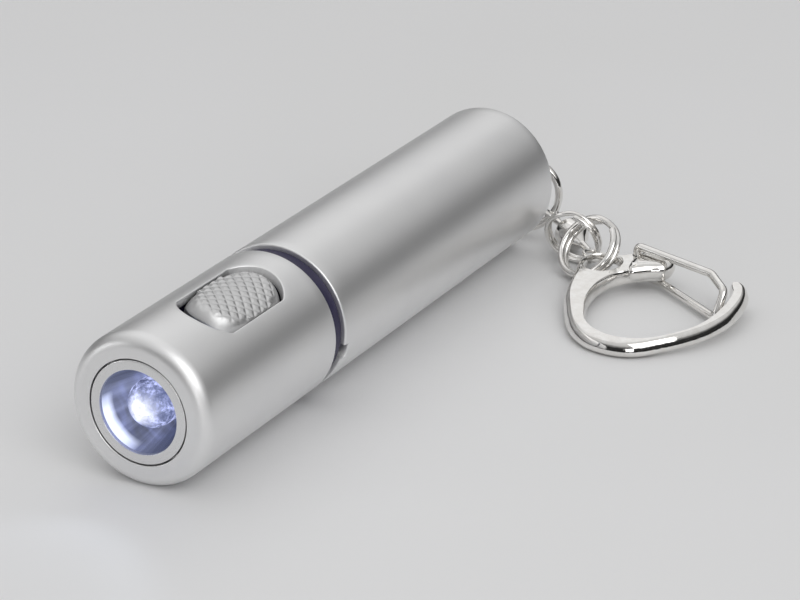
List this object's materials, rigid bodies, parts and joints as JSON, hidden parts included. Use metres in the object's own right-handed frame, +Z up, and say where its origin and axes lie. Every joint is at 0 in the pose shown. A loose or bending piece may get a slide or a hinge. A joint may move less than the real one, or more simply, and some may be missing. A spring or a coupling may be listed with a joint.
{
  "type": "keychain flashlight",
  "caption": "Round metal pocket torch with a sliding switch, a lamp at the front, and a short swivel chain with a D-shaped snap clip at the tail.",
  "frame": {"origin": "on the tube's axis, half way along the rear barrel", "axes": "+Y along the tube from the lamp to the key ring end, +Z up from the surface it lies on, +X towards the side where the clip lies"},
  "size_m": [0.0434, 0.0782, 0.016],
  "materials": {
    "rear_barrel": "bead blasted, satin",
    "tail_spring": "drawn wire",
    "tail_stud": "nickel plated",
    "head_shell": "bead blasted, satin",
    "bezel_ring": "turned, satin",
    "reflector": "bright metallised",
    "led_lens": "clear cast epoxy",
    "led_leads": "tinned",
    "led_chip": "lit, bluish white",
    "led_holder": "moulded",
    "battery_sleeve": "moulded, fine grain",
    "driver_board": "solder mask",
    "boost_coil": "ferrite",
    "driver_parts": "moulded packages",
    "switch_pads": "gold plated",
    "positive_contact": "nickel over brass",
    "negative_strip": "rolled strip",
    "cell_can": "nickel plated",
    "cell_wrap": "shrink film",
    "cell_button": "nickel plated",
    "switch_knob": "diamond knurl",
    "slider_carrier": "moulded",
    "slider_contact": "phosphor bronze leaf",
    "tail_ring": "nickel plated",
    "swivel_eye": "nickel plated",
    "swivel_body": "nickel plated",
    "link_ring": "nickel plated",
    "split_ring": "nickel plated",
    "clip_body": "nickel plated casting",
    "clip_gate": "nickel plated wire"
  },
  "bodies": {
    "barrel": {"rear_barrel": "rear_barrel", "tail_spring": "tail_spring", "tail_stud": "tail_stud"},
    "head": {"head_shell": "head_shell", "bezel_ring": "bezel_ring", "reflector": "reflector", "led_lens": "led_lens", "led_leads": "led_leads", "led_chip": "led_chip", "led_holder": "led_holder", "battery_sleeve": "battery_sleeve", "driver_board": "driver_board", "boost_coil": "boost_coil", "driver_parts": "driver_parts", "switch_pads": "switch_pads", "positive_contact": "positive_contact", "negative_strip": "negative_strip", "cell_can": "cell_can", "cell_wrap": "cell_wrap", "cell_button": "cell_button"},
    "switch": {"switch_knob": "switch_knob", "slider_carrier": "slider_carrier", "slider_contact": "slider_contact"},
    "tail_ring": {"tail_ring": "tail_ring"},
    "swivel_eye": {"swivel_eye": "swivel_eye"},
    "swivel_body": {"swivel_body": "swivel_body"},
    "link_ring": {"link_ring": "link_ring"},
    "split_ring": {"split_ring": "split_ring"},
    "clip": {"clip_body": "clip_body"},
    "gate": {"clip_gate": "clip_gate"}
  },
  "joints": [
    {"name": "head_pull", "type": "slide", "parent": "barrel", "child": "head", "axis": [0, -1, 0], "range_m": [0, 0.044]},
    {"name": "switch_slide", "type": "slide", "parent": "head", "child": "switch", "axis": [0, -1, 0], "range_m": [0, 0.0018]},
    {"name": "tail_ring_swing", "type": "hinge", "parent": "barrel", "child": "tail_ring", "pos_m": [0, 0.0259, 0], "axis": [-0.6808, -0.3039, -0.6664], "range_deg": [-15, 6]},
    {"name": "swivel_eye_swing", "type": "hinge", "parent": "tail_ring", "child": "swivel_eye", "pos_m": [0.00576, 0.02758, -0.00548], "axis": [0.5441, 0.264, 0.7964], "range_deg": [-5, 15]},
    {"name": "swivel_spin", "type": "hinge", "parent": "swivel_eye", "child": "swivel_body", "pos_m": [0.00576, 0.02758, -0.00548], "axis": [0.807, -0.5828, -0.0958], "range_deg": [-15, 15]},
    {"name": "link_ring_swing", "type": "hinge", "parent": "swivel_body", "child": "link_ring", "pos_m": [0.01427, 0.02144, -0.00649], "axis": [0.649, -0.2476, 0.7194], "range_deg": [-8, 8]},
    {"name": "split_ring_swing", "type": "hinge", "parent": "link_ring", "child": "split_ring", "pos_m": [0.01474, 0.0204, -0.00327], "axis": [-0.4148, -0.264, 0.8708], "range_deg": [-15, 15]},
    {"name": "clip_swing", "type": "hinge", "parent": "split_ring", "child": "clip", "pos_m": [0.01727, 0.01699, -0.00581], "axis": [0, 0, 1], "range_deg": [-10, 15]},
    {"name": "gate_open", "type": "hinge", "parent": "clip", "child": "gate", "pos_m": [0.0201, 0.0204, -0.006], "axis": [0, 0.068, -0.9977], "range_deg": [0, 25], "stiffness_Nm_per_rad": 0.004, "springref_deg": -8.59}
  ]
}
